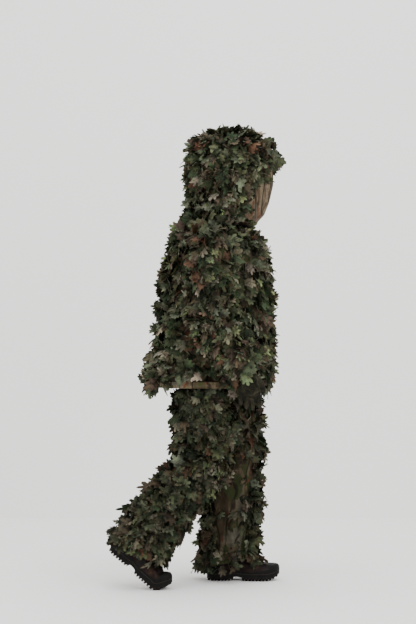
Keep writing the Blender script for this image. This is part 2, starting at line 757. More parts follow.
def build_sleeve(limb):
    """A sleeve in two pieces: from the armhole to the middle of the upper arm, and from there to the cuff."""
    side, sign = limb.side, limb.sign
    start = limb.shoulder + Vector((0.0, -sign * 0.030, 0.012))
    corner = limb.shoulder + Vector((0.0, sign * limb.out * 0.62, -0.014))
    count = 26
    path = curve_points([start, corner, limb.sleeve_top, limb.sleeve_split], count)
    frames = []
    for i, point in enumerate(path):
        tangent = heading(path, i).normalized()
        place = limb_frame(-tangent, Vector(), (0.0, -tangent.z, tangent.y))
        place.translation = point
        frames.append(place)
    table = ((0, 0.072, 0.066), (12, 0.069, 0.064), (25, 0.067, 0.060))
    radii = [lerp_table(table, i) for i in range(count)]
    rings = limb_rings(frames, radii, 40, [(0.004, 30.0)] * count, 2.0 + sign)
    upper = sheet(f"sleeve_top_{side}", rings, "camo")
    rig.replaces(upper, f"sleeve_upper_{side}", f"leaf_cover_sleeve_upper_{side}")
    limb.blend_shoulder(upper)

    end = limb.elbow + (limb.wrist - limb.elbow) * 0.90
    frames, total = bend_path([limb.sleeve_split, limb.elbow, end], 0.009)
    bend = (limb.elbow - limb.sleeve_split).length
    table = (
        (0.0, 0.067, 0.060),
        (bend, 0.064, 0.058),
        (bend + 0.10, 0.062, 0.056),
        (total - 0.03, 0.050, 0.046),
        (total, 0.048, 0.045),
    )
    radii = [lerp_table(table, at) for at, _ in frames]
    folds = [(0.007 if abs(at - bend) < 0.06 else 0.004, 60.0) for at, _ in frames]
    rings = limb_rings([place for _, place in frames], radii, 40, folds, 4.0 + sign)
    lower = sheet(f"sleeve_{side}", rings, "camo")
    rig.replaces(lower, f"sleeve_lower_{side}", f"leaf_cover_sleeve_lower_{side}")
    limb.blend_elbow(lower)
    build_cuff(limb)


def build_cuff(limb):
    """An elastic cuff: a ribbed band over the wrist of the glove."""
    length = (limb.wrist - limb.elbow).length
    rings = []
    for i, place in enumerate(straight_frames(limb.elbow, limb.wrist, length - 0.036, length + 0.006, 9)):
        bulge = 0.0022 * math.sin(math.pi * i / 8)
        ring = []
        for angle in round_angles(72):
            swell = bulge + 0.0012 * math.cos(24 * angle)
            ring.append(place @ Vector((*ring_point(angle, 0.0450 + swell, 0.0420 + swell), 0.0)))
        rings.append(ring)
    cuff = sheet(f"sleeve_cuff_band_{limb.side}", rings, "webbing", thickness=0.0025)
    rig.replaces(cuff, f"sleeve_cuff_{limb.side}")
    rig.ride(cuff, f"forearm_{limb.side}")


def build_trouser_leg(limb):
    """A trouser leg in two pieces: hip to the middle of the thigh, and on to folds that sit on the boot."""
    side, sign = limb.side, limb.sign
    count = 30
    table = ((0, 0.104, 0.0760), (12, 0.109, 0.0770), (29, 0.111, 0.0770))
    radii = [lerp_table(table, i) for i in range(count)]
    frames = straight_frames(limb.hip, limb.knee, -0.015, THIGH_SPLIT, count)
    rings = limb_rings(frames, radii, 48, [(0.003, 20.0)] * count, 6.0 + sign)
    upper = sheet(f"trouser_thigh_{side}", rings, "camo_leg")
    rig.replaces(upper, f"leg_upper_{side}", f"leaf_cover_leg_upper_{side}")
    limb.blend_hip(upper)

    end = limb.ankle + (limb.ankle - limb.knee).normalized() * HEM_DROP
    frames, total = bend_path([limb.thigh_split, limb.knee, end], 0.0045)
    bend = (limb.knee - limb.thigh_split).length
    table = (
        (0.0, 0.111, 0.0770),
        (bend * 0.6, 0.103, 0.0755),
        (bend, 0.090, 0.0730),
        (bend + 0.12, 0.089, 0.0710),
        (total - 0.10, 0.093, 0.0700),
        (total - 0.03, 0.099, 0.0700),
        (total, 0.103, 0.0710),
    )
    rings = []
    for at, place in frames:
        radius = lerp_table(table, at)
        bunch = max(0.0, 1.0 - (total - at) / 0.13)
        slant = max(0.0, 1.0 - (total - at) / 0.085)
        behind_knee = max(0.0, 1.0 - abs(at - bend) / 0.09)
        ring = []
        for angle in round_angles(56):
            x, y = ring_point(angle, *radius)
            local = place @ Vector((x + 0.012 * slant, y, HEM_SLOPE * x * slant))
            out = (place.to_3x3() @ Vector((x, y, 0.0))).normalized()
            tilt = 0.008 * math.cos(angle) + 0.004 * math.sin(2 * angle + sign)
            swell = math.sin((total - at + tilt) / 0.024 * 2 * math.pi + 0.8 * math.sin(angle * 2))
            fold = wave((x * 2.2, y * 2.2, at * 0.5), 14.0, 3.0 + sign) * 0.005
            if x < 0:
                fold += math.sin((at - bend + 0.15 * y) / 0.030 * 2 * math.pi) * 0.004 * behind_knee
            ring.append(local + out * (bunch * 0.0060 * swell + fold + wave(local, 30.0, 9.0) * 0.0016))
        rings.append(ring)
    lower = sheet(f"trouser_leg_{side}", rings, "camo_leg")
    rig.replaces(lower, f"leg_lower_{side}", f"leaf_cover_leg_lower_{side}", f"leg_cuff_{side}")
    limb.blend_knee(lower)


def build_hem_band():
    """A turned and double-stitched hem below the jacket."""
    low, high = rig.box("jacket_hem_band")
    centre_x = (low[0] + high[0]) / 2
    half_depth, half_width = (high[0] - low[0]) / 2, (high[1] - low[1]) / 2
    rings = []
    for i, z in enumerate(evenly(low[2], high[2] + 0.004, 9)):
        swell = 0.0010 * math.sin(math.pi * i / 8) - 0.0012 * (i in (2, 6))
        ring = []
        for angle in round_angles(160):
            x, y = ring_point(angle, half_depth + swell, half_width + swell, 2.6)
            ripple = 0.0030 * noise.noise(Vector((x * 12, y * 12, z * 3)))
            ring.append(Vector((centre_x + x, y, z)) + Vector((x, y, 0)).normalized() * ripple)
        rings.append(ring)
    band = sheet("jacket_hem", rings, "camo_pale", thickness=0.003)
    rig.replaces(band, "jacket_hem_band")
    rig.ride(band, "jacket")


def build_zip():
    """Tapes and moulded teeth down the front, with a slider and a cord pull."""
    low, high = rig.box("front_zip")
    pivot = joint_at("zip_slider_travel")
    radius = high[0] - 0.0012 - pivot.x

    def front(z):
        return pivot.x + math.sqrt(radius**2 - (z - pivot.z) ** 2)

    tapes = []
    for sign in (-1, 1):
        rows = []
        for z in evenly(low[2], high[2], 60):
            rows.append([Vector((front(z) - 0.0008, sign * y, z)) for y in (0.0032, 0.0075, 0.0118, 0.0148)])
        tapes.append((flat_list(rows), grid_faces(60, 4, False)))
    tape = join_parts("zip_tapes", tapes, "webbing")
    thick = bmesh.new()
    thick.from_mesh(tape.data)
    bmesh.ops.recalc_face_normals(thick, faces=thick.faces)
    bmesh.ops.solidify(thick, geom=thick.faces[:], thickness=0.0008)
    thick.to_mesh(tape.data)
    thick.free()
    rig.replaces(tape, "front_zip")
    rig.ride(tape, "jacket")
    pitch = 0.0032
    teeth = []
    for i in range(int((high[2] - low[2]) / pitch)):
        z = low[2] + 0.002 + i * pitch
        teeth.append(zip_tooth(front(z) + 0.0004, 0.0009 if i % 2 else -0.0009, z))
    chain = join_parts("zip_teeth", teeth, "zip", smooth=False)
    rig.ride(chain, "jacket")
    polish_small_node("zip_slider")
    polish_small_node("zip_pull")


def zip_tooth(x, y, z):
    corners = []
    for a in (-0.0012, 0.0012):
        for b in (-0.0022, 0.0022):
            corners += [Vector((x + a, y + b, z + c)) for c in (-0.0011, 0.0011)]
    return corners, [(0, 1, 3, 2), (4, 6, 7, 5), (0, 4, 5, 1), (2, 3, 7, 6), (0, 2, 6, 4), (1, 5, 7, 3)]


def polish_small_node(node):
    """A small moulded CAD piece with rounded edges and its own plastic."""
    obj = frame["nodes"][node]
    obj.data.materials.clear()
    obj.data.materials.append(MATERIAL["snap" if "snap" in node else "zip"])
    edge = obj.modifiers.new("soft edges", "BEVEL")
    edge.width = 0.0007
    edge.segments = 2
    edge.limit_method = "ANGLE"


# Hood and veil


def build_binding():
    """The corded tape round the face opening."""
    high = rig.box("hood_edge_binding")[1]
    points = corners_of("hood_edge_binding")
    points = points[points[:, 1] > 0]
    levels = sorted({round(float(z), 2) for z in points[:, 2]})
    centres = [points[abs(points[:, 2] - z) < 0.012].mean(axis=0) for z in levels]
    left = [Vector(centre) for centre in centres if centre[1] > 0.004]
    top = Vector((high[0] - 0.004, 0.0, high[2] - 0.004))
    right = [Vector((p.x, -p.y, p.z)) for p in reversed(left)]
    cord = join_parts("hood_binding", [tube(curve_points([*left, top, *right], 90), 0.0040)], "webbing")
    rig.replaces(cord, "hood_edge_binding")
    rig.ride(cord, "hood")


def extent_at(points, z, column, pick):
    """The greatest or least coordinate of a sectioned shell at a height, between its rows of corners."""
    heights = sorted({round(float(row), 3) for row in points[:, 2]})
    extents = [float(pick(points[abs(points[:, 2] - height) < 0.002, column])) for height in heights]
    return float(np.interp(z, heights, extents))


def build_veil():
    """The face veil: a printed mesh sheet with a rolled hem, hung from the brim just outside the hood."""
    low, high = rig.box("face_veil")
    rows = 44
    angles = [math.radians(angle) for angle in evenly(-VEIL_WRAP, VEIL_WRAP, 64)]
    points = corners_of("face_veil")
    shell = corners_of("hood_left", "hood_right")
    rings = []
    for r, z in enumerate(evenly(low[2] - 0.004, high[2] + 0.016, rows)):
        share = r / (rows - 1)
        front = extent_at(points, z, 0, np.max) + 0.004 + 0.010 * share
        half_width = extent_at(shell, z, 1, np.max) + 0.004
        half_depth = (front - extent_at(shell, z, 0, np.min)) / 2
        ring = []
        for angle in angles:
            x, y = ring_point(angle, half_depth, half_width, 2.2)
            ripple = 0.0030 * math.sin(angle * 9 + 5 * share) * (1 - share) ** 1.3
            ripple += 0.0016 * noise.noise(Vector((y * 30, z * 9, 2.0)))
            ring.append(Vector((front - half_depth + x + ripple, y, z)))
        rings.append(ring)
    veil = sheet("face_veil_mesh", rings, "veil", closed=False, thickness=0.0012)
    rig.replaces(veil, "face_veil")
    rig.ride(veil, "veil")
    cords = [tube([p + Vector((0, 0, 0.002)) for p in rings[0]], 0.0018, 6)]
    cords += [tube([ring[end] for ring in rings], 0.0016, 6) for end in (0, -1)]
    hem = join_parts("face_veil_hem", cords, "webbing")
    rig.ride(hem, "veil")


# Gloves

PALM = (  # along the hand from the wrist, half depth, half width
    (0.012, 0.025, 0.020),
    (-0.004, 0.028, 0.020),
    (-0.03, 0.037, 0.018),
    (-0.06, 0.043, 0.0165),
    (-0.088, 0.043, 0.0145),
    (-0.100, 0.038, 0.010),
)
FINGER_LENGTHS = (0.054, 0.068, 0.073, 0.064)
FINGER_PITCH = 0.0215
FINGER_RADII = [0.0104, 0.0106, 0.0104, 0.0102, 0.0100, 0.0098, 0.0090, 0.0062]
THUMB = (  # forward, towards the palm, along the hand
    (0.024, -0.004, -0.022),
    (0.040, -0.010, -0.044),
    (0.050, -0.014, -0.068),
    (0.052, -0.016, -0.090),
    (0.051, -0.017, -0.098),
)
THUMB_RADII = [0.014, 0.0135, 0.013, 0.0125, 0.012, 0.0115, 0.011, 0.0095, 0.006]


def build_glove(limb):
    """A knitted glove: palm, four fingers and a thumb, merged and smoothed. It goes under the sleeve."""
    side, sign = limb.side, limb.sign
    place = limb_frame(limb.wrist, limb.knuckles)
    finger_axis = Vector(JOINTS[f"fingers_{side}_curl"]["axis"])
    swing = math.atan2(-finger_axis.z, finger_axis.x)
    finger_place = Matrix.Translation(limb.knuckles) @ Matrix.Rotation(swing, 4, "Y")
    rings = []
    for along, half_depth, half_width in PALM:
        points = [ring_point(angle, half_depth, half_width, 2.4) for angle in round_angles(28)]
        rings.append([place @ Vector((x, y, along)) for x, y in points])
    parts = [capped(rings)]
    for i, length in enumerate(FINGER_LENGTHS):
        across = i - 1.5
        curl = 0.005 + 0.004 * i
        path = []
        for share in evenly(0.0, 1.0, len(FINGER_RADII)):
            x = across * (FINGER_PITCH + 0.003 * share)
            down = -0.012 + (length + 0.006) * share
            path.append(finger_place @ Vector((x, -sign * curl * share**2, -down)))
        parts.append(tube(path, FINGER_RADII, 14))
    thumb = [place @ Vector((x, sign * y, z)) for x, y, z in THUMB]
    parts.append(tube(curve_points(thumb, len(THUMB_RADII)), THUMB_RADII, 14))
    glove = join_parts(f"glove_{side}", parts, "glove")
    merge = glove.modifiers.new("merge", "REMESH")
    merge.mode = "VOXEL"
    merge.voxel_size = 0.0030
    relax = glove.modifiers.new("relax", "SMOOTH")
    relax.factor = 0.5
    relax.iterations = 3
    mesh = apply_modifiers(glove)
    for vert in mesh.vertices:
        crease = noise.noise(vert.co * 90.0) * 0.0006 + noise.noise(vert.co * 30.0) * 0.0008
        vert.co += vert.normal * crease
    mesh.shade_smooth()
    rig.replaces(glove, f"glove_hand_{side}", f"glove_fingers_{side}")
    along = (limb.knuckles - limb.wrist).normalized()
    start, end = limb.knuckles - along * 0.010, limb.knuckles + along * 0.012
    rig.blend(glove, f"hand_{side}", f"fingers_{side}", start, end)


# Boots: built flat in a frame whose origin is the ankle, bent at the toes, then placed


def sole_half_width(x):
    share = (x + HEEL_BACK) / BOOT_LENGTH
    step = min(max((share - 0.30) / 0.38, 0.0), 1.0)
    waist = 0.034 + 0.009 * (1 - math.cos(math.pi * step))
    heel = math.sqrt(max(0.0, 1 - (max(0.0, 0.13 - share) / 0.13) ** 2))
    toe = math.sqrt(max(0.0, 1 - (max(0.0, share - 0.76) / 0.24) ** 2.2))
    return waist * min(heel, toe)


def sole_under(x):
    """Underside of the sole body: raised under the waist and lifted at the toe."""
    arch = 0.0
    if 0.022 < x < 0.068:
        arch = 0.012 * min(1.0, (x - 0.022) / 0.006, (0.068 - x) / 0.010)
    return arch + 0.010 * max(0.0, (x - 0.165) / 0.055) ** 2


def footprint(count, inset):
    """Points round the sole's outline, from the heel along one side to the toe and back."""
    outline = []
    low, high = -HEEL_BACK + inset, BOOT_LENGTH - HEEL_BACK - inset
    for angle in round_angles(count):
        x = low + (high - low) * 0.5 * (1 - math.cos(angle))
        wide = max(sole_half_width(x) - inset * 0.6, 0.0015)
        outline.append((x, wide if angle < math.pi else -wide))
    return outline


class Boot:
    """Carries flat boot points to their place: bent at the toes, then turned and moved with the ankle."""

    def __init__(self, limb):
        self.side, self.toes = limb.side, limb.toes
        axis = Vector(JOINTS[f"ankle_{self.side}_bend"]["axis"])
        self.heading = Matrix.Rotation(math.atan2(-axis.x, axis.y), 4, "Z")
        flat = Vector((FLEX_FORWARD, 0.0, FLEX_HEIGHT - ANKLE_HEIGHT))
        level = self.heading.inverted() @ (self.toes - limb.ankle)
        self.lift = math.atan2(level.x, level.z) - math.atan2(flat.x, flat.z)

    def place(self, x, y, z):
        """z is above the ground under a flat boot. Beyond the bend line the boot stays level."""
        share = fade(x - FLEX_FORWARD, -0.030, 0.030)
        spring = TOE_SPRING * max(0.0, (x - 0.150) / 0.070) ** 2
        local = Vector((x - FLEX_FORWARD, y, z + spring - FLEX_HEIGHT))
        turned = Matrix.Rotation(self.lift * (1 - share), 4, "Y") @ local
        return self.toes + self.heading @ turned

    def ride(self, obj):
        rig.ride(obj, f"boot_{self.side}")

    def flex(self, obj):
        """Bends a piece at the toes."""
        half = (self.place(FLEX_FORWARD + 0.024, 0, 0.03) - self.place(FLEX_FORWARD - 0.024, 0, 0.03)) * 0.5
        middle = self.place(FLEX_FORWARD, 0, 0.03)
        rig.blend(obj, f"boot_{self.side}", f"toes_{self.side}", middle - half, middle + half)


def build_upper(boot):
    """Leather vamp and shaft, with rubber toe cap, heel counter and rand moulded over them."""
    rings, dark = [], []
    for z in [*evenly(0.028, 0.078, 17), *evenly(0.083, 0.188, 17)]:
        back, front, ellipse, wide = lerp_table(UPPER, z)
        lower = math.sqrt(max(0.0, 1 - max(0.0, (z - 0.050) / 0.030) ** 2)) if ellipse < 0.5 else 1.0
        ring = []
        for angle in round_angles(88):
            share = 0.5 * (1 - math.cos(angle))
            x = back + (front - back) * share
            foot = sole_half_width(BOOT_LENGTH * share - HEEL_BACK) * wide - 0.002
            shaft = 0.041 * wide * abs(math.sin(angle))
            y = max(foot * (1 - ellipse) + shaft * ellipse, 0.0012)
            y *= 1 - (1 - lower) * (0.25 if x > 0.10 else 0.0)
            is_toe = x > 0.168 + 0.10 * y and z < 0.074
            is_heel = x < -0.030 + 0.35 * (0.075 - z) and z < 0.078
            is_rand = z < 0.041 + 0.003 * math.cos(x * 40)
            rubber_here = is_toe or is_heel or is_rand
            crease = 0.0
            if 0.10 < x < 0.165 and 0.045 < z:
                crease = 0.0022 * math.sin((x + 0.2 * y) / 0.013 * 2 * math.pi)
            y = y if angle < math.pi else -y
            swell = (0.0016 if rubber_here else 0.0) + crease * 0.5
            out = Vector((x - 0.06, y * 2.2, 0)).normalized() * swell
            ring.append(boot.place(x + out.x, y + out.y, z + crease))
            dark.append(rubber_here)
        rings.append(ring)
    upper = sheet(f"boot_leather_{boot.side}", rings, "leather", thickness=0.0025)
    upper.data.materials.append(MATERIAL["rubber"])
    paint_nearest(upper.data, flat_list(rings), dark)
    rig.replaces(upper, f"boot_upper_{boot.side}", f"boot_toe_cap_{boot.side}")
    boot.flex(upper)


def paint_nearest(mesh, positions, flags):
    """Gives faces near flagged points the second material."""
    tree = KDTree(len(positions))
    for i, p in enumerate(positions):
        tree.insert(p, i)
    tree.balance()
    for face in mesh.polygons:
        face.material_index = 1 if flags[tree.find(face.center)[1]] else 0


def build_tongue(boot):
    """A curved tongue behind the laces."""
    path = curve_points([boot.place(x, 0.0, z) for x, z in TONGUE], 24)
    across = boot.heading @ Vector((0.0, 1.0, 0.0))
    rows = []
    for i, (point, half) in enumerate(zip(path, evenly(0.026, 0.030, 24))):
        normal = heading(path, i).cross(across).normalized()
        places = [(t * half, 0.010 * t * t - 0.004) for t in evenly(-1, 1, 13)]
        rows.append([point + across * aside + normal * ahead for aside, ahead in places])
    tongue = sheet(f"boot_tongue_{boot.side}", rows, "leather", closed=False, thickness=0.004)
    boot.ride(tongue)


def sole_band(boot, name, material, low, high, inset, gap):
    """A closed band of the sole between two heights. Gap keeps its bottom above the underside."""
    count = 96
    rings = []
    for share in evenly(0.0, 1.0, 4):
        ring = []
        for x, y in footprint(count, inset):
            bottom = max(low, sole_under(x) + gap)
            top = max(high, sole_under(x) + 0.021)
            ring.append(boot.place(x, y, bottom + (top - bottom) * share))
        rings.append(ring)
    faces = grid_faces(4, count, True)
    for start in (0, 3 * count):
        for i in range(1, count // 2 - 1):
            faces.append((start + i, start + i + 1, start + count - i - 1, start + count - i))
        faces.append((start, start + 1, start + count - 1))
    band = join_parts(f"boot_{name}_{boot.side}", [(flat_list(rings), faces)], material)
    band.data.set_sharp_from_angle(angle=math.radians(35))
    boot.flex(band)


def build_sole(boot):
    """Midsole with a pale welt line, and a lugged outsole with a heel block, an arch and a toe spring."""
    sole_band(boot, "welt", "welt", 0.0265, 0.0300, -0.0012, 0.018)
    sole_band(boot, "midsole", "rubber", 0.0080, 0.0265, 0.0004, 0.005)
    lugs = []
    x = -HEEL_BACK + 0.003
    while x < BOOT_LENGTH - HEEL_BACK - 0.010:
        inside_arch = 0.026 < x + 0.005 < 0.062
        wide = sole_half_width(x + 0.005)
        if not inside_arch and wide > 0.012:
            for sign in (-1, 1):
                lugs.append(lug(boot, x, 0.0098, sign * wide * 0.45, sign * (wide + 0.0008)))
            if wide > 0.03:
                lugs.append(lug(boot, x + 0.004, 0.0085, -wide * 0.30, wide * 0.30))
        x += 0.0140
    tread = join_parts(f"boot_tread_{boot.side}", lugs, "tread", smooth=False)
    rim = tread.modifiers.new("soft edges", "BEVEL")
    rim.width = 0.0008
    rim.segments = 1
    apply_modifiers(tread)
    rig.replaces(tread, f"boot_sole_rear_{boot.side}", f"boot_sole_front_{boot.side}")
    boot.flex(tread)


def lug(boot, x, length, inner, outer):
    """One block of the tread, a little narrower at the ground."""
    verts = []
    for rise, shrink in ((0.0004, 0.0012), (0.0114, 0.0)):
        back, front = x + shrink, x + length - shrink
        for xx, yy in ((back, inner), (front, inner), (front, outer), (back, outer)):
            if abs(yy) > 0.004:
                yy = math.copysign(min(abs(yy), sole_half_width(xx) + 0.0006), yy)
            verts.append(boot.place(xx, yy, sole_under(xx) + rise))
    return verts, [(0, 3, 2, 1), (4, 5, 6, 7), (0, 1, 5, 4), (1, 2, 6, 5), (2, 3, 7, 6), (3, 0, 4, 7)]


def build_laces(boot):
    """Round laces crossed over the tongue, with hooks at each turn."""
    table = ((0.0, 0.118), (0.3, 0.094), (0.6, 0.075), (1.0, 0.067))
    rows = [(lerp_table(table, share)[0], 0.086 + 0.080 * share) for share in evenly(0.0, 1.0, 6)]
    cords, hooks = [], []
    for (xa, za), (xb, zb) in zip(rows, rows[1:]):
        for sign in (-1, 1):
            path = [
                boot.place(xa + 0.002, sign * 0.021, za),
                boot.place((xa + xb) / 2 + 0.009, 0.0, (za + zb) / 2 + 0.004),
                boot.place(xb + 0.002, -sign * 0.021, zb),
            ]
            cords.append(tube(curve_points(path, 12), 0.0018, 8))
    for x, z in rows:
        for sign in (-1, 1):
            base = boot.place(x - 0.002, sign * 0.0225, z)
            tip = boot.place(x + 0.005, sign * 0.0225, z + 0.001)
            hooks.append(tube([base, (base + tip) / 2, tip], [0.0036, 0.0030, 0.0034], 12))
    lace = join_parts(f"boot_lace_cord_{boot.side}", cords, "lace")
    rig.replaces(lace, f"boot_laces_{boot.side}")
    boot.ride(lace)
    boot.ride(join_parts(f"boot_lace_hooks_{boot.side}", hooks, "zip"))


# Leaves


LEAF_CUTS = (  # angles of the lobes' tips, how far they reach, and the notches between them
    ((0, 44, 88, 134), (0.56, 0.48, 0.44, 0.38), (0.33, 0.30, 0.28)),
    ((0, 32, 66, 104, 144), (0.58, 0.46, 0.40, 0.38, 0.38), (0.37, 0.30, 0.28, 0.28)),
    ((0, 40, 84, 128), (0.60, 0.46, 0.42, 0.40), (0.35, 0.29, 0.29)),
)
LEAF_CENTRE = 0.42
STEM_ANGLE = 178


def leaf_outline(rng):
    """Angles and radii round one leaf, from its tip."""
    tips, reach, notch = LEAF_CUTS[rng.integers(0, 3)]
    side = []
    for i, (angle, r) in enumerate(zip(tips, reach)):
        r = r * rng.uniform(0.88, 1.12)
        if i:
            gap = angle - tips[i - 1]
            side.append((angle - gap * 0.50, notch[i - 1] * rng.uniform(0.85, 1.1)))
            side.append((angle - gap * 0.26, r * rng.uniform(0.84, 0.97)))
        side.append((angle, r))
        after = (tips[i + 1] if i + 1 < len(tips) else STEM_ANGLE) - angle
        side.append((angle + after * 0.25, r * rng.uniform(0.80, 0.95)))
    side.append((STEM_ANGLE, 0.40))
    outline = side + [(360 - a, r * rng.uniform(0.94, 1.06)) for a, r in reversed(side[1:-1])]
    if len(outline) % 2:
        outline.append((outline[-1][0] * 0.5 + 180, outline[-1][1] * 0.8))
    return outline


def leaf_variant(rng):
    """One cut leaf, 1 long from its stem at 0: vertices (along, across, up) and triangles."""
    outline = leaf_outline(rng)

    def spot(angle, depth, width):
        return LEAF_CENTRE + depth * math.cos(math.radians(angle)), width * math.sin(math.radians(angle))

    flat = [spot(angle, r, r) for angle, r in outline]
    inner = [spot(angle, 0.13, 0.11) for angle, _ in outline[::2]]
    droop = rng.uniform(0.10, 0.65)
    fold = rng.uniform(-0.25, 0.35)
    phase, size = rng.uniform(0, 6.28), rng.uniform(0.15, 0.45)
    verts = []
    for u, v in [(LEAF_CENTRE, 0.0)] + inner + flat:
        ahead = u - LEAF_CENTRE
        twist = size * (ahead**2 + v**2) * math.sin(3 * math.atan2(v, ahead) + phase)
        verts.append((u, v, -droop * max(u, 0) ** 2 - fold * abs(v) + twist))
    n, m = len(inner), len(flat)
    faces = []
    for i in range(n):
        this, after = 1 + i, 1 + (i + 1) % n
        a, b, c = (1 + n + (2 * i + step) % m for step in range(3))
        faces += [(0, this, after), (this, a, b), (this, b, after), (after, b, c)]
    return np.array(verts), np.array(faces)


variant_rng = np.random.default_rng(77)
VARIANTS = [leaf_variant(variant_rng) for _ in range(LEAF_VARIANTS)]


def outer_faces(nodes, top, bottom):
    """Triangles of CAD panels that face away from a centre line, as corner arrays and normals."""
    top, bottom = np.array(top), np.array(bottom)
    length = np.linalg.norm(bottom - top)
    axis = (bottom - top) / length
    corners, normals = [], []
    for node in nodes:
        mesh = frame["nodes"][node].data
        mesh.calc_loop_triangles()
        points = np.array([v.co for v in mesh.vertices])
        for triangle in mesh.loop_triangles:
            tri = points[list(triangle.vertices)]
            normal = np.array(triangle.normal)
            middle = tri.mean(axis=0) - top
            away = middle - axis * np.clip(middle @ axis, 0.0, length)
            if normal @ away > 0.30 * np.linalg.norm(away):
                corners.append(tri)
                normals.append(normal)
    return np.array(corners), np.array(normals)


def joined(first, second):
    """Two results of outer_faces as one."""
    return tuple(np.concatenate(pair) for pair in zip(first, second))


def scatter(name, faces, keep, seed, density=1.0, rust=None, bright=1.0):
    """Sews leaves over triangles. Keep gives the chance that a leaf stays at a place."""
    rng = np.random.default_rng(4100 + seed)
    corners, normals = faces
    first, second = corners[:, 1] - corners[:, 0], corners[:, 2] - corners[:, 0]
    area = np.linalg.norm(np.cross(first, second), axis=1) / 2
    count = int(area.sum() * LEAVES_PER_M2 * density)
    chosen = rng.choice(len(area), count, p=area / area.sum())
    a, b = rng.random(count), rng.random(count)
    over = a + b > 1
    a[over], b[over] = 1 - a[over], 1 - b[over]
    place = corners[chosen, 0] + first[chosen] * a[:, None] + second[chosen] * b[:, None]
    normal = normals[chosen]
    chance = np.array([keep(p, n) for p, n in zip(place, normal)])
    stay = rng.random(count) < chance
    verts, triangles, tints, flats = lay_leaves(rng, place[stay], normal[stay], rust, bright)
    mesh = bpy.data.meshes.new(name)
    mesh.vertices.add(len(verts))
    mesh.vertices.foreach_set("co", verts.ravel())
    mesh.loops.add(len(triangles) * 3)
    mesh.loops.foreach_set("vertex_index", triangles.ravel())
    mesh.polygons.add(len(triangles))
    mesh.polygons.foreach_set("loop_start", np.arange(0, len(triangles) * 3, 3))
    mesh.polygons.foreach_set("loop_total", np.full(len(triangles), 3))
    mesh.update(calc_edges=True)
    mesh.attributes.new("tint", "FLOAT_COLOR", "POINT").data.foreach_set("color", tints.ravel())
    mesh.attributes.new("on_leaf", "FLOAT_VECTOR", "POINT").data.foreach_set("vector", flats.ravel())
    mesh.shade_smooth()
    return new_object(name, mesh, "leaf")


def turned(a, b, angle):
    """Pairs of directions at right angles, turned in their own plane by an angle for each pair."""
    c, s = np.cos(angle)[:, None], np.sin(angle)[:, None]
    return a * c + b * s, b * c - a * s


def leaf_tints(rng, place, rise, rust, bright):
    """A colour for each leaf: brighter where it stands up to the light."""
    palette, shares = (np.array(column) for column in zip(*LEAF_TINTS))
    count = len(place)
    picked = rng.choice(len(palette), count, p=shares / shares.sum())
    if rust is not None:
        near = np.array([rust(p) for p in place])
        picked[rng.random(count) < near] = RUST
    tint = palette[picked] * rng.uniform(0.60, 1.35, (count, 1)) * rng.uniform(0.92, 1.08, (count, 3))
    return tint * bright * (0.62 + 0.50 * np.sin(rise))[:, None]


def lay_leaves(rng, place, normal, rust, bright):
    """Vertices, triangles, tints and flat coordinates of leaves that hang from places on cloth."""
    count = len(place)
    down = np.array([0.0, 0.0, -1.0]) + normal * normal[:, 2:]
    down += rng.normal(0, 0.12, (count, 3))
    down -= normal * (down * normal).sum(1)[:, None]
    down /= np.linalg.norm(down, axis=1)[:, None] + 1e-9
    along = turned(down, np.cross(down, normal), rng.normal(0, 1.05, count))[0]
    rise = rng.uniform(*LEAF_RISE, count)
    length = rng.uniform(*LEAF_LENGTH, count)
    low = np.array(CAD_BOUNDS[0]) - LEAF_MARGIN
    high = np.array(CAD_BOUNDS[1]) + LEAF_MARGIN
    high[2] += 0.020
    low[2] = 0.012
    tip = place + turned(along, normal, rise)[0] * length[:, None]
    rise[((tip < low + 0.008) | (tip > high - 0.008)).any(axis=1)] = 0.12
    direction, up = turned(along, normal, rise)
    up, across = turned(up, np.cross(up, direction), rng.normal(0, 0.80, count))
    tint = leaf_tints(rng, place, rise, rust, bright)
    kind = rng.integers(0, LEAF_VARIANTS, count)
    verts, faces, tints, flats = [], [], [], []
    base = 0
    for k, (shape, triangles) in enumerate(VARIANTS):
        which = np.nonzero(kind == k)[0]
        n = len(shape)
        size = length[which][:, None, None]
        made = (place + normal * 0.002)[which][:, None]
        for column, way in enumerate((direction, across, up)):
            made = made + way[which][:, None] * shape[None, :, column, None] * size
        verts.append(np.clip(made, low, high).reshape(-1, 3))
        faces.append((base + np.arange(len(which))[:, None, None] * n + triangles).reshape(-1, 3))
        from_stem = np.clip(0.28 + 1.05 * shape[:, 0], 0.2, 1.15)
        shaded = tint[which][:, None] * from_stem[None, :, None]
        tints.append(np.concatenate([shaded, np.ones((len(which), n, 1))], axis=2).reshape(-1, 4))
        flats.append(np.tile(np.c_[shape[:, :2], np.zeros(n)], (len(which), 1)))
        base += n * len(which)
    kinds = (np.float32, np.int32, np.float32, np.float32)
    return [np.concatenate(rows).astype(kind) for rows, kind in zip((verts, faces, tints, flats), kinds)]


def build_jacket_leaves():
    torso = outer_faces([*JACKET_PANELS, "jacket_hem_band"], (HIP_X, 0.0, 1.38), (HIP_X, 0.0, 0.7))
    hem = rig.box("jacket_hem_band")[1][2]

    def keep(p, n):
        """Bare beside the zip and on a strip of the hem, and thin under the arms."""
        if p[0] > HIP_X and abs(p[1]) < 0.030:
            return 0.0
        bare = 0.058 * fade(-abs(p[0] - HIP_X + 0.055), -0.125, -0.095) - 0.022
        under_arm = abs(n[1]) > 0.85 and hem + 0.05 < p[2] < 1.36
        return fade(p[2], hem + bare - 0.005, hem + bare + 0.018) * (0.45 if under_arm else 1.0)

    leaves = scatter("leaves_jacket", torso, keep, 1)
    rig.replaces(leaves, "leaf_cover_back", "leaf_cover_front_left", "leaf_cover_front_right")
    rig.ride(leaves, "jacket")


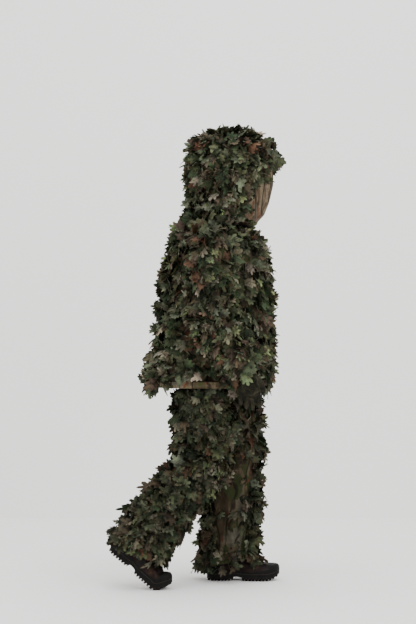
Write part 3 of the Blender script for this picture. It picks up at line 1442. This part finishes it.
def build_hood_leaves():
    low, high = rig.box("hood_left")
    middle_x = (low[0] + high[0]) / 2
    hood = outer_faces(["hood_left", "hood_right"], (middle_x, 0.0, high[2] - 0.12), (middle_x, 0.0, 1.3))
    binding = corners_of("hood_edge_binding")
    brim = float(binding[:, 2].max())
    heights = np.linspace(float(binding[:, 2].min()), brim, 24)
    nearest = [np.argsort(abs(binding[:, 2] - z))[:8] for z in heights]
    edges = [float(binding[rows, 0].mean()) for rows in nearest]

    def keep(p, n):
        """Behind the edge of the face opening, and all over the crown."""
        if p[2] > brim - 0.012:
            return 1.0
        bare = 0.022 - 0.026 * fade(p[2], brim - 0.15, brim - 0.04)
        return fade(float(np.interp(p[2], heights, edges)) - p[0], bare - 0.010, bare + 0.012)

    leaves = scatter("leaves_hood", hood, keep, 2, density=1.25)
    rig.replaces(leaves, "leaf_cover_hood")
    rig.ride(leaves, "hood")


def build_sleeve_leaves(limb):
    side, sign, shoulder, elbow = limb.side, limb.sign, limb.shoulder, limb.elbow
    upper = outer_faces([f"sleeve_upper_{side}"], shoulder - Vector((0, sign * 0.2, -0.02)), elbow)
    lower = outer_faces([f"sleeve_lower_{side}", f"sleeve_cuff_{side}"], elbow, limb.wrist)

    def keep(n):
        return 1.0 if n[1] * sign > -0.35 else 0.12

    def rust_line(p):
        """A line of rusty leaves down the back of the sleeve."""
        return 0.35 if abs(p[0] - shoulder.x + 0.045) < 0.010 else 0.0

    def above(p, n):
        return keep(n) if (Vector(p) - limb.sleeve_split).dot(limb.drop) < 0 else 0.0

    def below(p, n):
        above_elbow = (Vector(p) - elbow).dot(limb.drop) < 0
        return 0.0 if above_elbow and above(p, n) else keep(n)

    limb.blend_shoulder(scatter(f"leaves_sleeve_top_{side}", upper, above, 3 + (sign > 0), rust=rust_line))
    both = joined(lower, upper)
    limb.blend_elbow(scatter(f"leaves_sleeve_{side}", both, below, 5 + (sign > 0), rust=rust_line))


def build_leg_leaves(limb):
    side, sign, knee, split, thigh = limb.side, limb.sign, limb.knee, limb.thigh_split, limb.thigh
    upper = outer_faces([f"leg_upper_{side}"], limb.hip, knee)
    lower = outer_faces([f"leg_lower_{side}", f"leg_cuff_{side}"], knee, limb.ankle)
    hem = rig.box("jacket_hem_band")[0][2]

    def above(p, n):
        """Down to the split, from under the jacket's hem, and thin between the legs."""
        if (Vector(p) - split).dot(thigh) > 0 or p[2] > hem + 0.010:
            return 0.0
        return 1.0 - 0.5 * fade(-n[1] * sign, 0.80, 0.95)

    def below(p, n):
        past_knee = (Vector(p) - knee).dot(thigh)
        if past_knee < 0 and (Vector(p) - split).dot(thigh) < 0:
            return 0.0
        return 1.0 - (0.5 + 0.42 * fade(past_knee, -0.05, 0.05)) * fade(-n[1] * sign, 0.72, 0.92)

    limb.blend_hip(scatter(f"leaves_thigh_{side}", upper, above, 9 + (sign > 0), bright=LEG_SHADE))
    both = joined(upper, lower)
    limb.blend_knee(scatter(f"leaves_leg_{side}", both, below, 11 + (sign > 0), bright=LEG_SHADE))


# Studio


def build_room():
    far, half, back = FLOOR_HALF, WALL_HALF, WALL_PLACE
    floor = [(-far, -far, 0), (far, -far, 0), (far, far, 0), (-far, far, 0)]
    wall = [(-half, back, 0), (half, back, 0), (half, back, WALL_HEIGHT), (-half, back, WALL_HEIGHT)]
    for name, corners in (("floor", floor), ("wall", wall)):
        mesh = mesh_from(name, corners, [(0, 1, 2, 3)], smooth=False)
        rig.stage(new_object(f"studio_{name}", mesh, name))


def add_light(name, place, aim, size, power):
    data = bpy.data.lights.new(name, "AREA")
    data.shape = "RECTANGLE"
    data.size, data.size_y = size
    data.energy = power
    light = bpy.data.objects.new(name, data)
    light.location = place
    light.rotation_euler = (Vector(aim) - Vector(place)).to_track_quat("-Z", "Y").to_euler()
    bpy.context.scene.collection.objects.link(light)


def build_studio():
    build_room()
    world = bpy.data.worlds.new("studio")
    world.use_nodes = True
    sky = world.node_tree.nodes["Background"]
    sky.inputs["Color"].default_value = (1.0, 0.995, 0.985, 1.0)
    sky.inputs["Strength"].default_value = WORLD_STRENGTH
    bpy.context.scene.world = world
    add_light("top", (0.4, -0.6, 4.6), (HIP_X, 0.0, 0.8), (3.6, 3.0), 115.0)
    add_light("front", (2.8, -4.2, 2.8), (HIP_X, 0.0, 1.0), (2.6, 2.2), 85.0)
    add_light("back_fill", (-3.4, -2.5, 2.2), (HIP_X, 0.4, 1.0), (2.4, 2.4), 45.0)


def add_camera():
    """A level view from the wearer's right."""
    data = bpy.data.cameras.new("camera")
    data.lens = CAMERA_LENS
    data.sensor_width = 36.0
    camera = bpy.data.objects.new("camera", data)
    camera.location = (HIP_X, -CAMERA_DISTANCE, CAMERA_HEIGHT)
    camera.rotation_euler = (math.radians(90), 0.0, 0.0)
    bpy.context.scene.collection.objects.link(camera)
    bpy.context.scene.camera = camera


def main():
    for node in JACKET_PANELS:
        refined_panel(node, seed=len(node))
    for node in ("hood_left", "hood_right"):
        refined_panel(node, wrinkle=0.0016, seed=3.0)
    for node in ("seat_front", "seat_back", "crotch_gusset"):
        refined_panel(node, seed=5.0)
    refined_panel("collar", wrinkle=0.001)
    refined_panel("waistband", "webbing", wrinkle=0.001)
    build_hem_band()
    build_zip()
    build_binding()
    build_veil()
    limbs = [Limbs("left", 1.0), Limbs("right", -1.0)]
    for limb in limbs:
        polish_small_node(f"veil_snap_{limb.side}")
        build_sleeve(limb)
        build_trouser_leg(limb)
        build_glove(limb)
        boot = Boot(limb)
        build_tongue(boot)
        build_upper(boot)
        build_sole(boot)
        build_laces(boot)
    polish_small_node("waist_cord_lock")
    frame["nodes"]["waist_drawcord"].data.materials.clear()
    frame["nodes"]["waist_drawcord"].data.materials.append(MATERIAL["lace"])
    build_jacket_leaves()
    build_hood_leaves()
    for limb in limbs:
        build_sleeve_leaves(limb)
        build_leg_leaves(limb)
    build_studio()
    add_camera()
    sizes = {"cad": CAD_BOUNDS, "shown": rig.bounds()}
    sizes = {name: [list(corner) for corner in box] for name, box in sizes.items()}
    with open("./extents.json", "w") as out:
        json.dump(sizes, out)


main()
